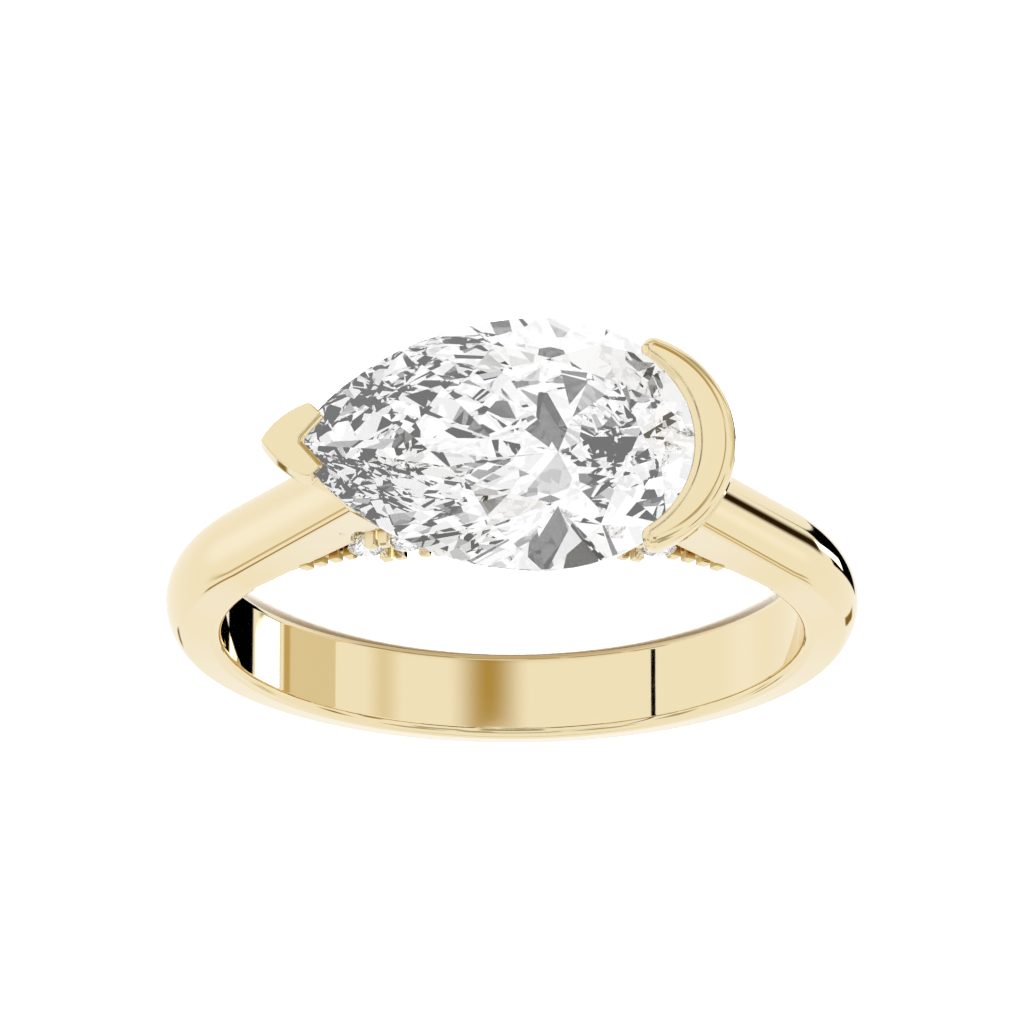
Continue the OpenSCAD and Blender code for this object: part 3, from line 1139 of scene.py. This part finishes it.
# Dark cards that the stones' facets pick out of the white surroundings: azimuth, elevation, half
# width, half height, colour, soft edge and tone in a stone.
DARK_CARDS = (
    (-35, 42, 10, 9, SAND, 0.2, NIGHT),
    (33, 47, 11, 8, CHALK, 0.2, SHADE),
    (-38, -48, 10, 8, SAND, 0.2, SHADE),
    (38, -46, 10, 8, SAND, 0.2, NIGHT),
    (0, 66, 16, 7, SAND, 0.2, SHADE),
    (0, -58, 14, 9, LINEN, 0.2, SHADE),
    (42, 10, 6, 10, CHALK, 0.2, NIGHT),
    (-58, 8, 6, 10, OCHRE, 0.6, DIM),
    (-84, 30, 7, 12, OCHRE, 0.6, DIM),
    (76, 28, 7, 12, SAND, 0.2, DIM),
    (-20, 52, 7, 7, SAND, 0.2, NIGHT),
    (18, 6, 7, 6, CHALK, 0.2, NIGHT),
    (-20, 4, 6, 6, LINEN, 0.2, SHADE),
    (60, 60, 10, 8, SAND, 0.2, SHADE),
    (-62, 58, 10, 8, SAND, 0.2, SHADE),
    (60, -38, 8, 6, SAND, 0.2, SHADE),
    (-66, -52, 9, 8, SAND, 0.2, SHADE),
    (14, -46, 6, 6, LINEN, 0.2, NIGHT),
    (-14, -48, 6, 6, LINEN, 0.2, DIM),
)

CARDS = (
    # Seen by the gold: on the right shoulder, in the finger hole, then on the shoulders' sides
    Card("black_flag", -139.5, -29, 14, 10.5, BLACK, edge=0.12, roll=-12, in_stone="#2A2A2A"),
    Card("dome_shade", -113, -22, 8, 9, "#2E1C00", edge=0.5, in_stone=DARK_GREY, edge_up=0.7),
    Card("black_flag_low", -153, -7, 3, 8, "#8A6C28", edge=0.5, in_stone=DARK_GREY),
    Card("gold_reflector", -88.5, -19, 14, 14, "#EBE0C6", edge=0.05),
    Card("gold_reflector_edge", -101, -19, 2.5, 14, "#CDB57C", edge=0.6, in_stone="#D0D0D0"),
    Card(
        "dim_wall", -9.5, -23.2, 17, 10, "#BCA05A",
        edge=1.0, in_stone=MID_GREY, distance=NEAR, edge_up=0.08,
    ),
    Card("dim_wall_left", -54, -23.2, 9, 10, "#F0E8D4", edge=1.0, distance=NEAR, edge_up=0.08),
    Card(
        "crescent_shade", -14, -3, 6.5, 11, "#BCA05A",
        edge=1.0, in_stone=MID_GREY, distance=NEAR, edge_up=0.3,
    ),
    Card("light_stand", 57.5, 12, 1.3, 38, BLACK, edge=0.3, in_stone=BLACK),
    Card(
        "strip_light", -121.2, -22.3, 8.8, 3.4, WHITE,
        edge=0.1, gain=3.0, distance=0.06, edge_up=0.2,
    ),
    Card("left_softbox", 106, -6, 16, 26, "#EEF2FF", gain=1.28, edge=0.9),
    Card("right_softbox", -104, 4, 12, 12, "#F4F7FF", gain=1.25, edge=0.9),
    Card("left_frame", 126, 24, 5.5, 12, "#CDB57C", edge=1.0, in_stone=DARK_GREY),
    Card("left_frame_edge", 146, 28, 4, 8, "#B08A45", edge=0.5, in_stone=DARK_GREY),
    Card("left_sky", 163, 28, 12, 17, "#E7ECFF", gain=1.33, edge=1.0),
    Card("right_frame", -127, 25, 3.5, 8, "#C8AF73", edge=0.8, in_stone=DARK_GREY),
    Card("right_frame_edge", -138, 29, 4.5, 7, "#DBCB9E", edge=0.6, in_stone=DARK_GREY),
    Card("right_sky", -163, 28, 12, 17, "#E7ECFF", gain=1.33, edge=1.0),
    Card("cap_shade", 160, -3, 5, 4, "#8A7A38", edge=0.6, in_stone=MID_GREY),
    Card("back_beam", 180, 46, 12, 4, "#C8AF73", edge=0.7, in_stone=DARK_GREY),
    Card("low_beam", -62, -42, 42, 6, "#C2A663", edge=0.9, in_stone=SHADE),
    # The first of the cards that the stones see
    Card("camera_shade", 0, 26.6, 14, 14, "#AEA58A", edge=0.3, in_stone=NIGHT),
) + tuple(
    Card(f"dark_{number}", *place, colour, edge=edge, in_stone=tone)
    for number, (*place, colour, edge, tone) in enumerate(DARK_CARDS, 1)
)


@dataclass
class Studio:
    """Floor, light, dark cards and camera, placed from the photographed view."""

    view_turn: float = 69.9
    distance: float = 300.0
    view_shift: float = 2.56
    focal_pixels: float = 10251.0
    frame_pixels: float = 1024.0
    sensor: float = 36.0
    clip: tuple[float, float] = (0.01, 10.0)
    paper_half: float = 3.0
    sky_strength: float = 1.03
    softbox_strength: float = 14.0
    softbox_angle: float = 100.0
    bounces: int = 12
    cards: tuple[Card, ...] = CARDS

    def axes(self) -> tuple[Array, Array, Array]:
        """Right, up and towards-the-camera directions in the ring's axes."""
        e = np.radians(self.view_turn)
        right = np.array([1.0, 0, 0])
        up = np.array([0, np.cos(e), -np.sin(e)])
        towards = np.array([0, np.sin(e), np.cos(e)])
        return right, up, towards

    def place_camera(self) -> None:
        """Set the camera to the photograph's view: far away and long, so almost parallel."""
        right, up, towards = self.axes()
        data = bpy.data.cameras.new("camera")
        data.sensor_width = self.sensor
        data.lens = self.focal_pixels / self.frame_pixels * self.sensor
        data.clip_start, data.clip_end = self.clip
        camera = bpy.data.objects.new("camera", data)
        turned = np.stack([LIE.turn @ v for v in (right, up, towards)], axis=1)
        place = LIE.turn @ (towards * self.distance + up * self.view_shift) + LIE.shift
        matrix = np.eye(4)
        matrix[:3, :3] = turned
        matrix[:3, 3] = place * MM
        camera.matrix_world = Matrix(matrix.tolist())
        bpy.context.scene.collection.objects.link(camera)
        bpy.context.scene.camera = camera

    def lay_floor(self) -> None:
        """Lay a sheet of white paper under the ring.

        It is hidden from reflections and from the stones, where the cards below stand in for it.
        """
        mesh = bpy.data.meshes.new("paper")
        corners = np.pad(self.paper_half * SQUARE, ((0, 0), (0, 1)))
        mesh.from_pydata(corners.tolist(), [], [(0, 1, 2, 3)])
        mesh.materials.append(WHITE_PAPER.material())
        floor = bpy.data.objects.new("paper", mesh)
        bpy.context.scene.collection.objects.link(floor)
        floor.visible_glossy = False
        floor.visible_transmission = False

    def light(self) -> None:
        """Fill the studio with even white light, and light the paper from a large softbox above.

        Paths in a stone end after the last bounce, which leaves some of its facets grey.
        """
        world = bpy.data.worlds.new("white studio")
        world.use_nodes = True
        tree = world.node_tree
        tree.nodes.clear()
        settings = {"Color": linear(WHITE), "Strength": self.sky_strength}
        sky = add_node(tree, "ShaderNodeBackground", settings, {})
        add_node(tree, "ShaderNodeOutputWorld", {}, {"Surface": sky.outputs["Background"]})
        bpy.context.scene.world = world
        softbox = bpy.data.lights.new("softbox", "SUN")
        softbox.energy = self.softbox_strength
        softbox.angle = np.radians(self.softbox_angle)
        lamp = bpy.data.objects.new("softbox", softbox)
        bpy.context.scene.collection.objects.link(lamp)
        lamp.visible_glossy = False
        lamp.visible_transmission = False
        scene = bpy.context.scene
        scene.view_settings.view_transform = "Standard"
        scene.cycles.max_bounces = self.bounces
        scene.cycles.glossy_bounces = scene.cycles.transmission_bounces = self.bounces

    def build(self) -> None:
        """Set up the whole studio."""
        self.lay_floor()
        self.light()
        for card in self.cards:
            card.hang()
        self.place_camera()
        LOG.info("studio: floor, light and camera")


# ---------------------------------------------------------------- assembly


def main() -> None:
    """Build the ring piece by piece, then the studio."""
    logging.basicConfig(level=logging.INFO, format="%(message)s")
    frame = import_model()
    gold = POLISHED_GOLD.material()
    for piece in (Shank(), Cap(), Crescent(), Bridge()):
        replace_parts(piece.build(gold), "gold_ring")
    Stones(frame["nodes"]).dress(CUT_DIAMOND.material())
    Studio().build()


if __name__ == "__main__":
    main()
